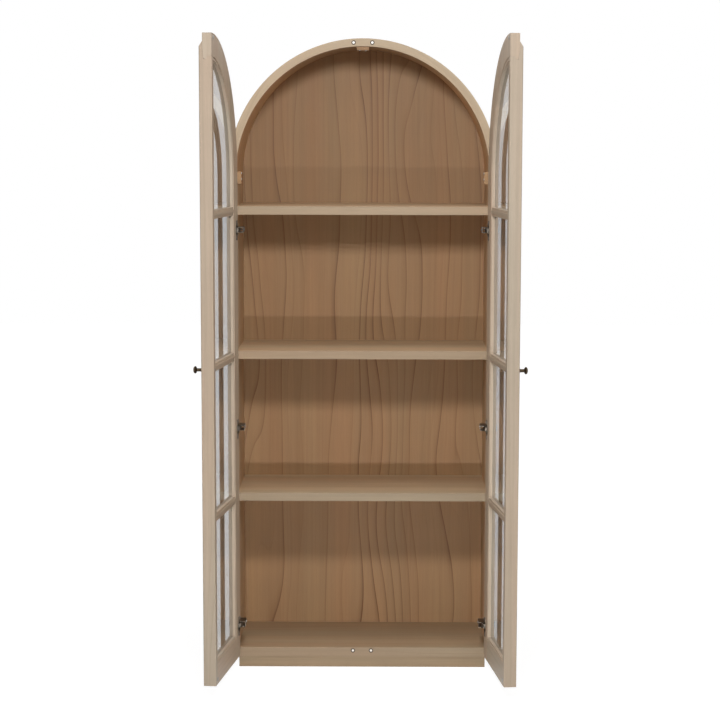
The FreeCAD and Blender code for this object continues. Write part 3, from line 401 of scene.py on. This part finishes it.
SHARED = (
    (wood("block_wood", "x", INSIDE, INSIDE_LINE, 14.2, **FINE),
     ("crown_block", "side_blocks", "arch_tongues", "frame_tongues_left", "frame_tongues_right")),
    (metal("hinge_nickel", linear(112, 105, 96), 0.36),
     ("hinge_plates", "hinge_arms", "hinge_links_left", "hinge_links_right", "hinge_cups_left", "hinge_cups_right")),
    (metal("screw_zinc", linear(150, 148, 144), 0.34),
     ("hinge_screws", "block_screws", "cup_screws_left", "cup_screws_right", "knob_screw_left", "knob_screw_right",
      "strike_plates_left", "strike_plates_right")),
    # the magnets, with a painted highlight in their middle
    (magnet_painted_highlight("magnet_with_painted_highlight"), ("catch_magnets",)),
    (bronze("knob_bronze"), ("knob_left", "knob_right")),
)
for material, pieces in SHARED:
    for piece in pieces:
        assign(piece, material)

pane_glass = clear_glass("door_glass")
panes = sorted(name for name in nodes if name.startswith("glass_"))
for piece in panes:
    assign(piece, pane_glass)

# Camera, as the photograph's

SENSOR = 36.0
LENS = 113.62
SHIFT_X, SHIFT_Y = -0.0068, 0.1283
CAMERA_PLACE = (0.0652, FRONT - 7.6397, 1.8223)
LOOK_DOWN, LOOK_ASIDE, ROLL = 8.023, 0.422, 0.106  # degrees
CLIP_END = 60.0

scene = bpy.context.scene
camera_data = bpy.data.cameras.new("camera")
camera = bpy.data.objects.new("camera", camera_data)
scene.collection.objects.link(camera)
camera_data.sensor_fit = "HORIZONTAL"
camera_data.sensor_width = SENSOR
camera_data.lens = LENS
camera_data.shift_x = SHIFT_X
camera_data.shift_y = SHIFT_Y
camera_data.clip_end = CLIP_END
camera.location = CAMERA_PLACE
aim = Euler((math.radians(90 - LOOK_DOWN), 0.0, math.radians(LOOK_ASIDE)), "XYZ").to_matrix()
camera.rotation_euler = (aim @ Matrix.Rotation(math.radians(ROLL), 3, "Z")).to_euler("XYZ")
scene.camera = camera

# World: a dim even surround that is white where it is seen

SURROUND = 0.07


def background(g, strength):
    node = g.add("ShaderNodeBackground")
    node.inputs["Color"].default_value = grey(1.0)
    node.inputs["Strength"].default_value = strength
    return node.outputs[0]


world = bpy.data.worlds.new("studio")
scene.world = world
g = Graph(world, "ShaderNodeOutputWorld")
g.blend_out(g.seen(), background(g, SURROUND), background(g, 1.0))

# Lamps: a compact high one in front, two broad ones overhead, and a small one at floor level. They don't mirror in
# the panes.

COOL = (0.93, 0.965, 1.0)
NEUTRAL = (1.0, 0.97, 0.97)
WARM = (1.0, 0.96, 0.92)
WIDE = 180.0  # spread in degrees

# name, place, aim, size, watts, colour, spread
LAMPS = (
    ("high_softbox", (0.0, FRONT - 2.75, 2.45), (0.0, 0.0, 1.0), 0.3, 51.0, COOL, WIDE),
    ("overhead_softbox", (0.0, FRONT - 1.3, 4.3), (0.0, FRONT - 0.3, 0.5), 1.6, 45.0, NEUTRAL, WIDE),
    ("top_softbox", (0.0, FRONT + 0.35, 4.3), (0.0, FRONT + 0.3, 0.5), 1.6, 12.0, NEUTRAL, WIDE),
    ("floor_lamp", (0.0, FRONT - 4.93, 0.03), (0.0, 0.0, 0.3), 0.25, 5.3, WARM, 42.0),
)

unlit = bpy.data.collections.new("panes_without_lamps")
for piece in panes:
    unlit.objects.link(nodes[piece])
for member in unlit.collection_objects:
    member.light_linking.link_state = "EXCLUDE"

for name, place, target, size, watts, colour, cone in LAMPS:
    light = bpy.data.lights.new(name, "AREA")
    light.shape = "SQUARE"
    light.size = size
    light.energy = watts
    light.color = colour
    light.spread = math.radians(cone)
    lamp = bpy.data.objects.new(name, light)
    lamp.location = place
    lamp.rotation_euler = (Vector(target) - Vector(place)).to_track_quat("-Z", "Y").to_euler()
    lamp.visible_camera = False
    lamp.light_linking.receiver_collection = unlit
    scene.collection.objects.link(lamp)

# Floor, white to the camera but for the object's shadow, and a little less white near the object

FLOOR_REACH = 14.0
FLOOR_DROP = 0.0005
FLOOR_GREY = 0.8
GLOW = 1.35
GLOW_SHARE = 0.75
NEAR_TO_FAR = [(0.2, grey(0.95)), (0.6, grey(1.0))]  # of four metres from the middle

floor_mesh = bpy.data.meshes.new("studio_floor")
form = bmesh.new()
bmesh.ops.create_grid(form, x_segments=1, y_segments=1, size=FLOOR_REACH)
form.to_mesh(floor_mesh)
form.free()
floor = bpy.data.objects.new("studio_floor", floor_mesh)
scene.collection.objects.link(floor)
floor.location = (0.0, 0.0, -FLOOR_DROP)
g = new_graph("floor_paint")
diffuse = g.add("ShaderNodeBsdfDiffuse")
diffuse.inputs["Color"].default_value = grey(FLOOR_GREY)
away = g.add("ShaderNodeVectorMath", operation="LENGTH")
g.join(g.add("ShaderNodeNewGeometry").outputs["Position"], away.inputs[0])
glow = g.add("ShaderNodeEmission")
g.join(g.ramp(g.math("MULTIPLY", away.outputs["Value"], 0.25), NEAR_TO_FAR), glow.inputs["Color"])
glow.inputs["Strength"].default_value = GLOW
g.blend_out(g.math("MULTIPLY", g.seen(), GLOW_SHARE), diffuse.outputs[0], glow.outputs[0])
floor_mesh.materials.append(g.owner)

scene.view_settings.view_transform = "Standard"
